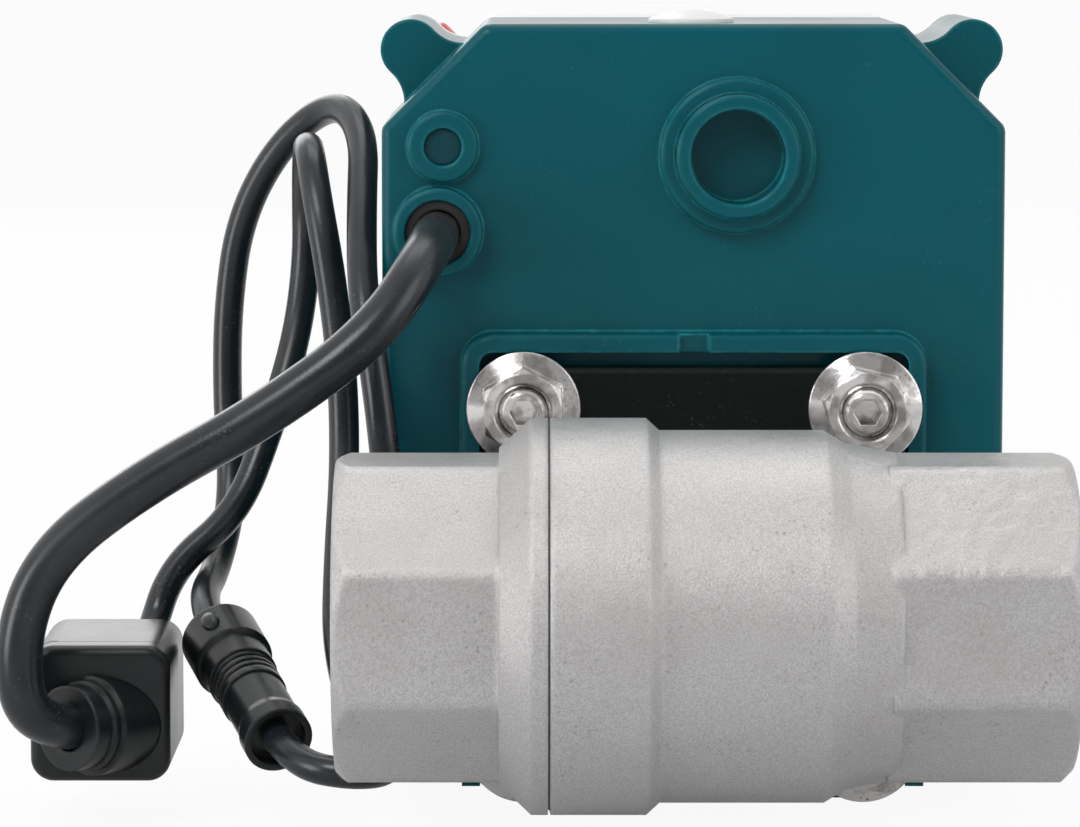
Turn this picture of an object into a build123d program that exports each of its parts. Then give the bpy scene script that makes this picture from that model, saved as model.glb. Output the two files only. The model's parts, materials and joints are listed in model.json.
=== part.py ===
from build123d import *
import math
import os

# Motorised ball valve for a water pipe, with its cable, in-line box and plug connection.
# The pipe runs along X, the actuator lies behind the valve along +Y, and Z is up.
# The origin is the centre of the left port's end face. Lengths are millimetres, angles degrees.

# Fits shared by all pieces
RUN = 0.05
EASE = 0.3
OVER = 1.0

# Valve: ends, collar and barrel along the pipe, their places measured from the stem
LENGTH = 72.0
PORT_FLATS = 31.0
PORT_CORNER = 33.2
PORT_BORE = 24.2
PORT_DEPTH = 13.0
PORT_BREAK = 1.3
NECK_BEFORE_STEM = 20.0
COLLAR = 39.0
COLLAR_BREAK = 0.5
CAP_BEVEL = 2.6
SPLIT_BEFORE_STEM = 15.1
SPLIT_LINE = 0.12
COLLAR_BEFORE_STEM = 5.6
BARREL = 36.6
BARREL_BEVEL = 1.3
BARREL_PAST_STEM = 11.8
SHOULDER = 34.0
SHOULDER_BEVEL = 2.2
SHOULDER_PAST_STEM = 18.8
SHOULDER_TAPER = 0.9

# Valve: ball, seats and seal
BALL = 27.0
FLOW_BORE = 18.0
CAVITY = 29.0
SEAT_BACK = 13.2
SEAT_FRONT = 5.6
SEAT_OUTER = 24.4
SEAT_INNER = 18.4
SPIGOT = 33.0
SPIGOT_LENGTH = 5.0
SEAL = 0.8

# Stem, its packing and the pad that takes the bracket plate
STEM = 9.0
STEM_FOOT = 12.0
STEM_FOOT_THICK = 2.0
STEM_SQUARE = 6.0
STEM_END = 37.0
TANG_THICK = 3.0
TANG_WIDE = 8.0
TANG_DEPTH = 2.6
NECK = 22.0
PACKING = 14.0
PACKING_START = 18.0
PACKING_LENGTH = 5.5
GLAND_LENGTH = 3.6
GLAND_SLOT = 2.4
PAD = 28.0
PAD_THICK = 4.0

# Bracket plate, its screws, and the studs and flange nuts that hold the actuator
PLATE_FRONT = 28.0
PLATE_THICK = 4.0
PLATE_SIDE = 1.7
PLATE_ABOVE = 1.6
PLATE_BELOW = 3.2
PLATE_CORNER = 3.0
PLATE_EDGE = 0.4
PLATE_SCREW = 3.0
PLATE_SCREW_HEAD = 5.6
PLATE_SCREW_CIRCLE = 21.6
PLATE_SCREW_LENGTH = 7.0
STUD = 5.0
STUD_PITCH = 35.4
STUD_OUT = 5.2
STUD_KEY = 2.5
STUD_KEY_DEPTH = 3.0
NUT_FLATS = 8.0
NUT_TALL = 5.0
NUT_FLANGE = 11.8
NUT_FLANGE_THICK = 1.1
NUT_FLANGE_RISE = 0.7
NUT_TURNS = [2.0, 17.0, 9.0, 24.0]
EDGE_SHARE = 0.1
HEXAGON_CORNER_SHARE = 1 / math.cos(math.pi / 6)
DIAGONAL_SHARE = math.sqrt(0.5)

# Actuator housing
SIDE_ROOM = 9.8
TOP = 57.3
LOW_ROOM = 0.2
CORNER = 10.7
CORNER_ROUND = 1.4
CHAMFER_INSET_SHARE = 2 - math.sqrt(2)
FACE_ROUND = 1.1
WALL = 2.5
FLOOR = 3.0
BASE_END = 63.4
GASKET = 0.6
GASKET_WIDE = 1.5
COVER_ROUND = 2.0
MOTOR_SPACE = 4.5
EAR = 6.4
EAR_OUT = 3.5
EAR_FOOT = 9.0
EAR_WAIST = 0.45
EAR_DEPTH = 23.4
COVER_EAR_DEPTH = 4.0
COVER_SCREW = 3.0
COVER_SCREW_LENGTH = 7.6
COVER_SCREW_HEAD = 5.2
COVER_SCREW_HEAD_THICK = 2.0
SLIT_SHARE = 1 / 16

# Raised frame round the bracket plate, and the bosses on the face
RIM_GAP = 0.4
RIM_ABOVE = 1.6
RIM_SHORT = 1.1
RIM_WALL = 1.9
RIM_HIGH = 3.7
RIM_CORNER = 3.3
RIM_ROUND = 0.7
NOTCH_WIDE = 3.1
NOTCH_DEEP = 1.2
KNOB_X = 4.5
KNOB_Z = 43.7
KNOB_RING = 16.1
KNOB_RING_HIGH = 1.6
KNOB_TUBE = 12.9
KNOB_BORE = 9.8
KNOB_HIGH = 4.0
KNOB_BLIND = 1.4
VENT_SIDE = 6.4
VENT_Z = 44.6
VENT_RING = 7.4
VENT_BORE = 3.9
VENT_HIGH = 1.3
VENT_PLUG_BACK = 0.7
GLAND_SIDE = 5.9
GLAND_Z = 35.8
GLAND_RING = 9.3
GLAND_BORE = 6.8
GLAND_HIGH = 3.4
RING_ROUND = 0.45

# Pairing button on top, clutch button on the upper left chamfer, indicator window
BUTTON = 9.0
BUTTON_Y = 41.4
BUTTON_PROUD = 0.35
BUTTON_DOME = 0.9
BUTTON_FLANGE = 10.6
BUTTON_FLANGE_THICK = 1.2
CLUTCH = 7.0
CLUTCH_Y = 74.8
CLUTCH_PROUD = 3.4
CLUTCH_FLANGE = 8.4
CLUTCH_FLANGE_THICK = 1.2
WINDOW = 24.0
WINDOW_LIP = 1.6
WINDOW_THICK = 1.5
DIAL = 17.0
DIAL_THICK = 1.2
POINTER_WIDE = 2.4

# Gearbox: two plates, posts, axles and the wheels between them
BOX_PLATE_TOP = 48.0
BOX_PLATE_EDGE = 0.3
BOX_PLATE = 3.0
UPPER_PLATE_Y = 52.0
UPPER_PLATE = 2.0
POST = 5.0
POST_IN = 3.6
AXLE = 3.0
TOOTH_FOOT_SHARE = 0.32
TOOTH_TIP_SHARE = 0.13
TOOTH_OUT_SHARE = 0.75
TOOTH_IN_SHARE = 1.2
WHEEL_GAP = 0.5
OUT_MODULE = 0.8
OUT_TEETH = 40
OUT_THICK = 5.0
SECOND_PINION_TEETH = 12
SECOND_MODULE = 0.6
SECOND_TEETH = 36
SECOND_THICK = 2.8
FIRST_PINION_TEETH = 12
FIRST_MODULE = 0.5
FIRST_TEETH = 36
FIRST_THICK = 2.4
MOTOR_TEETH = 12
FIRST_X = -3.0
SHAFT = 10.0
SHAFT_TIP = 6.0
SOCKET = 12.8
SOCKET_FRONT = 32.6
SOCKET_DEPTH = 5.2
MOTOR = 20.0
MOTOR_LONG = 21.0
MOTOR_NOSE = 6.0
MOTOR_NOSE_LONG = 1.6
MOTOR_SHAFT = 2.0
MOTOR_SHAFT_IN = 4.0

# Control board, cam and limit switches
BOARD_Y = 60.0
BOARD = 1.6
BOARD_WIDE = 46.0
BOARD_TOP = 29.0
BOARD_BOTTOM = 17.0
BOARD_HOLE = 16.0
CAM = 13.0
CAM_LOBE = 2.0
CAM_THICK = 2.6
SWITCH_WIDE = 6.4
SWITCH_TALL = 12.8
SWITCH_DEEP = 5.0
SWITCH_OUT = 13.4
RELAY = 10.0
RELAY_DEEP = 7.0
HEADER_WIDE = 12.0
HEADER_TALL = 5.0
HEADER_DEEP = 6.0

# Cables, in-line box and round plug connection
CABLE = 4.8
LEAD = 3.2
GROMMET_OUT = 0.6
GROMMET_IN = 1.6
MODULE_LEFT = -32.7
MODULE_WIDE = 14.5
MODULE_TOP = -6.4
MODULE_TALL = 14.2
MODULE_FRONT = 22.0
MODULE_LONG = 20.0
MODULE_LID = 3.2
MODULE_LINE = 0.35
MODULE_ROUND = 2.4
MODULE_EDGE = 1.0
RELIEF = 10.4
RELIEF_TIP = 8.8
RELIEF_HIGH = 4.2
RELIEF_RING = 1.0
RELIEF_GROOVE = 0.45
JACK = 8.4
JACK_LONG = 7.0
JACK_STEP = 7.4
JACK_STEP_LONG = 3.4
JACK_ROUND = 1.4
LOCK = 7.0
LOCK_LONG = 4.2
LOCK_GROOVE = 0.45
LOCK_GROOVES = 3
LOCK_START_SHARE = 0.6
PLUG = 6.6
PLUG_LONG = 5.6
PLUG_FLARE = 7.2
PLUG_FLARE_LONG = 3.2
PLUG_CUP = 1.6
PLUG_CUP_WALL = 0.7
BEND_SHARE = 0.45

# The routes of the cable and the two leads, from one fixed end to the other
CABLE_ROUTE = [
    (9.4, 35.0, 35.8),
    (9.4, 21.0, 35.8),
    (3.6, 14.0, 26.6),
    (-8.4, 13.4, 18.0),
    (-20.0, 14.6, 11.6),
    (-30.0, 15.6, 4.0),
    (-33.4, 14.8, -5.0),
    (-32.0, 14.4, -14.2),
    (-25.8, 22.0, -14.6),
]
LINK_ROUTE = [
    (-22.6, 42.0, -11.0),
    (-22.4, 48.5, -9.5),
    (-20.0, 50.5, -2.0),
    (-12.8, 49.0, 4.0),
    (-9.4, 52.0, 13.0),
    (-6.6, 55.5, 22.4),
    (-5.5, 57.0, 31.0),
    (-5.6, 57.5, 38.5),
    (-5.2, 52.5, 43.8),
    (-4.6, 45.5, 43.6),
    (-3.6, 41.0, 38.5),
    (-2.2, 39.5, 31.0),
    (-0.9, 38.0, 21.0),
    (-0.6, 36.5, 11.0),
    (-1.2, 33.5, 1.0),
    (-1.3, 29.0, -8.0),
    (1.5, 22.5, -15.6),
    (5.5, 16.0, -18.0),
    (1.5, 10.2, -17.8),
    (-5.0, 13.1, -17.1),
    (-7.2, 18.8, -14.9),
]
SUPPLY_ROUTE = [
    (-14.4, 38.0, -7.4),
    (-16.7, 44.2, -5.0),
    (-15.2, 53.5, -2.4),
    (-13.8, 58.0, 5.0),
    (-14.6, 60.4, 15.0),
    (-14.5, 61.2, 25.5),
    (-13.0, 61.0, 35.5),
    (-8.4, 59.5, 43.8),
    (-2.2, 55.0, 48.6),
    (1.2, 46.5, 45.5),
    (1.2, 38.0, 38.0),
    (1.5, 30.0, 29.5),
    (3.2, 26.5, 20.0),
    (4.4, 25.5, 9.0),
    (5.0, 26.5, -2.0),
    (6.0, 28.0, -12.0),
]

# Places worked out from the sizes above
STEM_X = LENGTH / 2
CAP_NECK = STEM_X - NECK_BEFORE_STEM
SPLIT = STEM_X - SPLIT_BEFORE_STEM
COLLAR_END = STEM_X - COLLAR_BEFORE_STEM
BARREL_END = STEM_X + BARREL_PAST_STEM
SHOULDER_END = STEM_X + SHOULDER_PAST_STEM
PLATE_BACK = PLATE_FRONT + PLATE_THICK
FACE = PLATE_BACK
INSIDE = FACE + FLOOR
COVER_FRONT = BASE_END + GASKET
UPPER_PLATE_END = UPPER_PLATE_Y + UPPER_PLATE
COVER_INSIDE = UPPER_PLATE_END + MOTOR_LONG + MOTOR_SPACE
COVER_END = COVER_INSIDE + WALL
BOX_PLATE_END = INSIDE + BOX_PLATE
OUT_START = BOX_PLATE_END + WHEEL_GAP
SECOND_START = OUT_START + OUT_THICK + WHEEL_GAP
FIRST_START = SECOND_START + SECOND_THICK + WHEEL_GAP
STUDS = [(STEM_X + sx * STUD_PITCH / 2, sz * STUD_PITCH / 2) for sz in (1, -1) for sx in (-1, 1)]
STUD_REACH = (STUD_PITCH + STUD) / 2
PLATE_WIDE = 2 * (STUD_REACH + PLATE_SIDE)
PLATE_TOP = STUD_REACH + PLATE_ABOVE
PLATE_BOTTOM = STUD_REACH + PLATE_BELOW
RIM_WIDE = PLATE_WIDE + 2 * (RIM_GAP + RIM_WALL)
RIM_TOP = PLATE_TOP + RIM_ABOVE + RIM_WALL
RIM_BOTTOM = PLATE_BOTTOM - RIM_SHORT
BOX_PLATE_SIDE = STUD_REACH + BOX_PLATE_EDGE
BOX_PLATE_BOTTOM = BOX_PLATE_SIDE
HALF_WIDE = STUD_REACH + SIDE_ROOM + WALL
VENT_X = VENT_SIDE - HALF_WIDE
GLAND_X = GLAND_SIDE - HALF_WIDE
BOTTOM = BOX_PLATE_BOTTOM + LOW_ROOM + WALL


def seen(y):
    # A plane at depth y that is drawn on as the front view shows it.
    return Plane((0, y, 0), x_dir=(1, 0, 0), z_dir=(0, -1, 0))


def slab(sketch, near, far):
    # A sketch in front view, made solid from depth near to depth far.
    return extrude(seen(far) * sketch, far - near)


def block(left, right, low, high, near, far):
    # A box between two sides, two heights and two depths.
    face = Pos((left + right) / 2, (low + high) / 2) * Rectangle(right - left, high - low)
    return slab(face, near, far)


def disc(x, z, size, near, far):
    # A round bar of diameter size that runs in depth.
    return slab(Pos(x, z) * Circle(size / 2), near, far)


def lathe(points):
    # A body of revolution about Z from (radius, height) points.
    return revolve(Plane.XZ * make_face(Polyline(*points, close=True)), Axis.Z)


def turned(x, z, points):
    # A body of revolution about a line in depth through (x, z), from (radius, depth) points.
    return Plane((x, 0, z), z_dir=(0, 1, 0)) * lathe(points)


def piped(points):
    # A body of revolution about the pipe, from (place along X, radius) points.
    return revolve(make_face(Polyline(*points, close=True)), Axis.X)


def at_joint(first, radius, second, other, right):
    # The point at the two given distances from two centres, on their right or left.
    gap = math.dist(first, second)
    along = (gap ** 2 + radius ** 2 - other ** 2) / (2 * gap)
    side = math.sqrt(radius ** 2 - along ** 2) * (1 if right else -1)
    ux = (second[0] - first[0]) / gap
    uz = (second[1] - first[1]) / gap
    return (first[0] + along * ux + side * uz, first[1] + along * uz - side * ux)


def centre_distance(module, teeth, pinion):
    return module * (teeth + pinion) / 2


# Wheel centres: the output on the stem, the motor behind the round collar, two between them
OUT_AT = (STEM_X, 0)
MOTOR_AT = (STEM_X + KNOB_X, KNOB_Z)
MOTOR_REACH = centre_distance(FIRST_MODULE, FIRST_TEETH, MOTOR_TEETH)
FIRST_DROP = math.sqrt(MOTOR_REACH ** 2 - (KNOB_X - FIRST_X) ** 2)
FIRST_AT = (STEM_X + FIRST_X, KNOB_Z - FIRST_DROP)
OUT_REACH = centre_distance(OUT_MODULE, OUT_TEETH, SECOND_PINION_TEETH)
SECOND_REACH = centre_distance(SECOND_MODULE, SECOND_TEETH, FIRST_PINION_TEETH)
SECOND_AT = at_joint(OUT_AT, OUT_REACH, FIRST_AT, SECOND_REACH, True)


def bearing(start, end):
    return math.degrees(math.atan2(end[1] - start[1], end[0] - start[0]))


def meshing(start, phase, teeth, end, other_teeth):
    # The phase that puts a gap of the second wheel where the first one's tooth points.
    line = bearing(start, end)
    return line + 180 - 180 / other_teeth + (line - phase) * teeth / other_teeth


def wheel(teeth, module, centre, phase, near, far):
    # A spur wheel with straight-sided teeth, one of them pointing along phase.
    root = module * (teeth / 2 - TOOTH_IN_SHARE)
    tip = module * (teeth / 2 + TOOTH_OUT_SHARE)
    foot = TOOTH_FOOT_SHARE
    crest = TOOTH_TIP_SHARE
    step = 2 * math.pi / teeth
    points = []
    for tooth in range(teeth):
        for share, radius in ((-foot, root), (-crest, tip), (crest, tip), (foot, root)):
            turn = math.radians(phase) + (tooth + share) * step
            points.append((centre[0] + radius * math.cos(turn), centre[1] + radius * math.sin(turn)))
    return slab(make_face(Polyline(*points, close=True)), near, far)


# Valve

def port_form():
    # The eight-sided bar with its turned ends, before it is cut to a port.
    bar = extrude(Plane.YZ * RegularPolygon(PORT_FLATS / 2, 8, major_radius=False, rotation=22.5), LENGTH)
    corner = PORT_CORNER / 2
    end = corner - PORT_BREAK
    envelope = [(0, 0), (0, end), (PORT_BREAK, corner)]
    envelope += [(LENGTH - PORT_BREAK, corner), (LENGTH, end), (LENGTH, 0)]
    return bar & piped(envelope)


def port_bore(start):
    return Plane.YZ.offset(start) * extrude(Circle(PORT_BORE / 2), PORT_DEPTH)


def along_pipe(size, start, end):
    return Plane.YZ.offset(start) * extrude(Circle(size / 2), end - start)


def end_cap():
    collar = COLLAR / 2
    profile = [
        (CAP_NECK, 0),
        (CAP_NECK, PORT_CORNER / 2),
        (CAP_NECK + CAP_BEVEL, collar - COLLAR_BREAK),
        (CAP_NECK + CAP_BEVEL + COLLAR_BREAK, collar),
        (SPLIT - SPLIT_LINE, collar),
        (SPLIT - SPLIT_LINE, collar - COLLAR_BREAK),
        (SPLIT, collar - COLLAR_BREAK),
        (SPLIT, SPIGOT / 2),
        (SPLIT + SPIGOT_LENGTH, SPIGOT / 2),
        (SPLIT + SPIGOT_LENGTH, 0),
    ]
    bar = port_form() & along_pipe(COLLAR, 0, CAP_NECK + CAP_BEVEL)
    cap = bar + piped(profile)
    cap -= port_bore(0)
    cap -= along_pipe(FLOW_BORE, 0, LENGTH)
    cap -= along_pipe(SEAT_OUTER + 2 * RUN, STEM_X - SEAT_BACK, STEM_X)
    return cap


def body_form():
    collar = COLLAR / 2
    profile = [
        (SPLIT, 0),
        (SPLIT, collar - COLLAR_BREAK),
        (SPLIT + SPLIT_LINE, collar),
        (COLLAR_END, collar),
        (COLLAR_END + BARREL_BEVEL, BARREL / 2),
        (BARREL_END, BARREL / 2),
        (BARREL_END + SHOULDER_BEVEL, SHOULDER / 2),
        (SHOULDER_END, SHOULDER / 2 - SHOULDER_TAPER),
        (SHOULDER_END, 0),
    ]
    end = port_form() & along_pipe(COLLAR, SHOULDER_END - OVER, LENGTH)
    return piped(profile) + end


def valve_body():
    body = body_form()
    body += disc(STEM_X, 0, NECK, 0, PLATE_FRONT)
    body += disc(STEM_X, 0, PAD, PLATE_FRONT - PAD_THICK, PLATE_FRONT)
    body -= along_pipe(SPIGOT + 2 * RUN, SPLIT - OVER, SPLIT + SPIGOT_LENGTH + SEAL)
    body -= along_pipe(CAVITY, SPLIT, STEM_X + SEAT_BACK - SEAT_FRONT / 2)
    body -= along_pipe(SEAT_OUTER + 2 * RUN, STEM_X, STEM_X + SEAT_BACK)
    body -= along_pipe(FLOW_BORE, STEM_X, LENGTH)
    body -= port_bore(LENGTH - PORT_DEPTH)
    body -= disc(STEM_X, 0, STEM_FOOT + EASE, 0, CAVITY / 2 + STEM_FOOT_THICK)
    body -= disc(STEM_X, 0, STEM + 2 * RUN, 0, PLATE_FRONT + OVER)
    body -= disc(STEM_X, 0, PACKING, PACKING_START, PLATE_FRONT + OVER)
    for x, z in plate_screw_places():
        body -= disc(x, z, PLATE_SCREW, PLATE_BACK - PLATE_SCREW_LENGTH, PLATE_FRONT + OVER)
    return body


def body_seal():
    start = SPLIT + SPIGOT_LENGTH
    return along_pipe(SPIGOT, start, start + SEAL) - along_pipe(CAVITY + EASE, start, start + SEAL)


def ball():
    sphere = Pos(STEM_X, 0, 0) * Sphere(BALL / 2)
    sphere -= along_pipe(FLOW_BORE, 0, LENGTH)
    slot = TANG_THICK / 2 + RUN
    floor = BALL / 2 - TANG_DEPTH - EASE
    return sphere - block(0, LENGTH, -slot, slot, floor, BALL)


def left_seat():
    ring = along_pipe(SEAT_OUTER, STEM_X - SEAT_BACK, STEM_X - SEAT_FRONT)
    ring -= along_pipe(SEAT_INNER, 0, LENGTH)
    return ring - Pos(STEM_X, 0, 0) * Sphere(BALL / 2 + RUN)


def right_seat():
    return mirror(left_seat(), Plane.YZ.offset(STEM_X))


def stem():
    foot = CAVITY / 2 - EASE
    tang = TANG_THICK / 2
    half = STEM_SQUARE / 2
    piece = disc(STEM_X, 0, STEM, foot, STEM_END)
    square = block(STEM_X - half, STEM_X + half, -half, half, SOCKET_FRONT - EASE, STEM_END + OVER)
    piece &= disc(STEM_X, 0, STEM, 0, SOCKET_FRONT - EASE) + square
    piece += disc(STEM_X, 0, STEM_FOOT, foot, foot + STEM_FOOT_THICK)
    low = BALL / 2 - TANG_DEPTH
    return piece + block(STEM_X - TANG_WIDE / 2, STEM_X + TANG_WIDE / 2, -tang, tang, low, foot)


def stem_packing():
    ring = disc(STEM_X, 0, PACKING, PACKING_START, PACKING_START + PACKING_LENGTH)
    return ring - disc(STEM_X, 0, STEM + 2 * RUN, 0, PLATE_BACK)


def gland_nut():
    start = PACKING_START + PACKING_LENGTH
    ring = disc(STEM_X, 0, PACKING, start, start + GLAND_LENGTH)
    ring -= disc(STEM_X, 0, STEM + EASE, 0, PLATE_BACK)
    half = GLAND_SLOT / 2
    return ring - block(0, LENGTH, -half, half, start + GLAND_LENGTH / 2, PLATE_BACK)


# Bracket plate and fasteners

def plate_screw_places():
    reach = PLATE_SCREW_CIRCLE / 2 * DIAGONAL_SHARE
    return [(STEM_X + reach * sx, reach * sz) for sx in (-1, 1) for sz in (-1, 1)]


def plate_sketch():
    sketch = Pos(STEM_X, (PLATE_TOP - PLATE_BOTTOM) / 2) * Rectangle(PLATE_WIDE, PLATE_TOP + PLATE_BOTTOM)
    return fillet(sketch.vertices(), PLATE_CORNER)


def screw_cone(grow):
    # A countersunk head, larger all round by grow for the hole that takes it.
    shank = PLATE_SCREW / 2
    head = PLATE_SCREW_HEAD / 2 + grow
    start = PLATE_BACK - head + shank
    return [(0, start), (shank, start), (head, PLATE_BACK), (0, PLATE_BACK)]


def bracket_plate():
    plate = slab(plate_sketch(), PLATE_FRONT, PLATE_BACK)
    plate = chamfer(plate.faces().sort_by(Axis.Y)[0].edges(), PLATE_EDGE)
    plate -= disc(STEM_X, 0, PACKING, 0, COVER_END)
    for x, z in STUDS:
        plate -= disc(x, z, STUD + EASE, 0, COVER_END)
    for x, z in plate_screw_places():
        plate -= disc(x, z, PLATE_SCREW + EASE, 0, COVER_END)
        plate -= turned(x, z, screw_cone(RUN))
    return plate


def plate_screws():
    screws = []
    for x, z in plate_screw_places():
        shank = disc(x, z, PLATE_SCREW - 2 * RUN, PLATE_BACK - PLATE_SCREW_LENGTH + EASE, PLATE_BACK - OVER)
        screws.append(shank + turned(x, z, screw_cone(0)))
    return Compound(screws)


def mounting_studs():
    studs = []
    front = PLATE_FRONT - STUD_OUT
    for x, z in STUDS:
        edge = STUD * EDGE_SHARE
        points = [(0, front), (STUD / 2 - edge, front), (STUD / 2, front + edge), (STUD / 2, BOX_PLATE_END)]
        stud = turned(x, z, points + [(0, BOX_PLATE_END)])
        key = Pos(x, z) * RegularPolygon(STUD_KEY / 2, 6, major_radius=False)
        studs.append(stud - slab(key, front - OVER, front + STUD_KEY_DEPTH))
    return Compound(studs)


def flange_nut(x, z, turn):
    front = PLATE_FRONT - NUT_TALL
    tip = NUT_FLATS / 2
    corner = tip * HEXAGON_CORNER_SHARE
    rise = PLATE_FRONT - NUT_FLANGE_THICK
    hexagon = Pos(x, z) * Rot(0, 0, turn) * RegularPolygon(tip, 6, major_radius=False, rotation=30)
    bevel_end = front + corner - tip
    crown = [(0, front), (tip, front), (corner, bevel_end), (corner, PLATE_FRONT), (0, PLATE_FRONT)]
    nut = slab(hexagon, front, PLATE_FRONT) & turned(x, z, crown)
    skirt = NUT_FLANGE / 2
    flange = [(0, rise - NUT_FLANGE_RISE), (tip, rise - NUT_FLANGE_RISE), (skirt, rise), (skirt, PLATE_FRONT)]
    nut += turned(x, z, flange + [(0, PLATE_FRONT)])
    nut -= disc(x, z, STUD + 2 * RUN, 0, COVER_END)
    edge = STUD * EDGE_SHARE
    mouth = STUD / 2 + RUN
    sink = [(0, front - edge), (mouth + 2 * edge, front - edge), (mouth, front + edge), (0, front + edge)]
    return nut - turned(x, z, sink)


def flange_nuts():
    return Compound([flange_nut(x, z, turn) for (x, z), turn in zip(STUDS, NUT_TURNS)])


# Housing

def outline(inset):
    # The housing's front view, drawn in by inset.
    wide = 2 * (HALF_WIDE - inset)
    tall = TOP + BOTTOM - 2 * inset
    sketch = Pos(STEM_X, (TOP - BOTTOM) / 2) * Rectangle(wide, tall)
    sketch = chamfer(sketch.vertices(), CORNER - inset * CHAMFER_INSET_SHARE)
    return fillet(sketch.vertices(), CORNER_ROUND)


def ears():
    # The four screw lugs, each across the middle of a corner chamfer.
    half = EAR_FOOT / 2
    round_half = EAR / 2
    middle = (half + round_half) / 2 - EAR_WAIST
    left = ThreePointArc((-half, 0), (-middle, EAR_OUT / 2), (-round_half, EAR_OUT))
    cap = ThreePointArc((-round_half, EAR_OUT), (0, EAR_OUT + round_half), (round_half, EAR_OUT))
    right = ThreePointArc((round_half, EAR_OUT), (middle, EAR_OUT / 2), (half, 0))
    foot = Polyline((half, 0), (half, -WALL), (-half, -WALL), (-half, 0))
    lug = make_face([left, cap, right, foot])
    return [Pos(x, z) * Rot(0, 0, turn) * lug for x, z, turn in corners()]


def corners():
    # The middle of each corner chamfer, with the turn that faces a lug outwards.
    reach = HALF_WIDE - CORNER / 2
    top = TOP - CORNER / 2
    low = CORNER / 2 - BOTTOM
    return [
        (STEM_X - reach, top, 45),
        (STEM_X + reach, top, -45),
        (STEM_X - reach, low, 135),
        (STEM_X + reach, low, -135),
    ]


def ear_centre(x, z, turn):
    angle = math.radians(turn)
    return (x - EAR_OUT * math.sin(angle), z + EAR_OUT * math.cos(angle))


def boss(x, z, outer, inner, high, sink):
    # A ring that stands out of the face, with its front edges rounded and its bore sunk.
    ring = disc(x, z, outer, FACE - high, FACE + sink)
    ring = fillet(ring.faces().sort_by(Axis.Y)[0].edges(), RING_ROUND)
    ring -= disc(x, z, inner, FACE - high - OVER, FACE + sink + OVER)
    return fillet(ring.faces().sort_by(Axis.Y)[0].edges().sort_by(SortBy.LENGTH)[0], RING_ROUND / 2)


def rim():
    # The raised frame that is open at the bottom, with its drain notch.
    wide = RIM_WIDE / 2
    outer = Pos(STEM_X, (RIM_TOP - RIM_BOTTOM) / 2) * Rectangle(RIM_WIDE, RIM_TOP + RIM_BOTTOM)
    inner_top = RIM_TOP - RIM_WALL
    inner_wide = RIM_WIDE - 2 * RIM_WALL
    inner = Pos(STEM_X, (inner_top - BOTTOM) / 2) * Rectangle(inner_wide, inner_top + BOTTOM)
    outer = fillet(outer.vertices().group_by(Axis.Y)[-1], RIM_CORNER)
    inner = fillet(inner.vertices().group_by(Axis.Y)[-1], RIM_CORNER - RIM_WALL)
    front = FACE - RIM_HIGH
    frame = slab(outer, front, FACE + OVER)
    frame = fillet(frame.faces().sort_by(Axis.Y)[0].edges(), RIM_ROUND)
    frame -= slab(inner, front - OVER, FACE + OVER)
    frame -= block(STEM_X - wide, STEM_X + wide, -BOTTOM, RIM_ROUND - RIM_BOTTOM, 0, front + RIM_ROUND)
    half = NOTCH_WIDE / 2
    return frame - block(STEM_X - half, STEM_X + half, inner_top - OVER, TOP, 0, front + NOTCH_DEEP)


def housing_base():
    base = slab(outline(0), FACE, BASE_END)
    base = fillet(base.faces().sort_by(Axis.Y)[0].edges(), FACE_ROUND)
    for ear in ears():
        base += slab(ear, BASE_END - EAR_DEPTH, BASE_END)
    base -= slab(outline(WALL), INSIDE, BASE_END + OVER)
    base += rim()
    knob = (STEM_X + KNOB_X, KNOB_Z)
    vent = (STEM_X + VENT_X, VENT_Z)
    gland = (STEM_X + GLAND_X, GLAND_Z)
    base += boss(*knob, KNOB_RING, KNOB_TUBE, KNOB_RING_HIGH, OVER)
    base -= disc(*knob, KNOB_BORE, FACE - OVER, FACE + KNOB_BLIND)
    base += boss(*knob, KNOB_TUBE, KNOB_BORE, KNOB_HIGH, OVER)
    base += boss(*vent, VENT_RING, VENT_BORE, VENT_HIGH, OVER)
    base -= disc(*vent, VENT_BORE, 0, INSIDE + OVER)
    base += boss(*gland, GLAND_RING, GLAND_BORE, GLAND_HIGH, OVER)
    base -= disc(*gland, GLAND_BORE, 0, INSIDE + OVER)
    base -= disc(STEM_X, 0, SOCKET + EASE, 0, INSIDE + OVER)
    for x, z in STUDS:
        base -= disc(x, z, STUD + EASE, 0, INSIDE + OVER)
    for place in corners():
        base -= disc(*ear_centre(*place), COVER_SCREW, COVER_FRONT - COVER_SCREW_LENGTH / 2, BASE_END + OVER)
    base -= Pos(STEM_X, BUTTON_Y, 0) * extrude(Circle(BUTTON / 2 + RUN), TOP + OVER)
    return base


def housing_gasket():
    ring = slab(outline(WALL - GASKET_WIDE), BASE_END, COVER_FRONT)
    return ring - slab(outline(WALL), BASE_END - OVER, COVER_FRONT + OVER)


def clutch_plane(depth):
    # A plane across the upper left chamfer, that far out from its surface.
    x, z, turn = corners()[0]
    side = DIAGONAL_SHARE
    return Plane((x - depth * side, CLUTCH_Y, z + depth * side), z_dir=(-side, 0, side))


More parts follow.
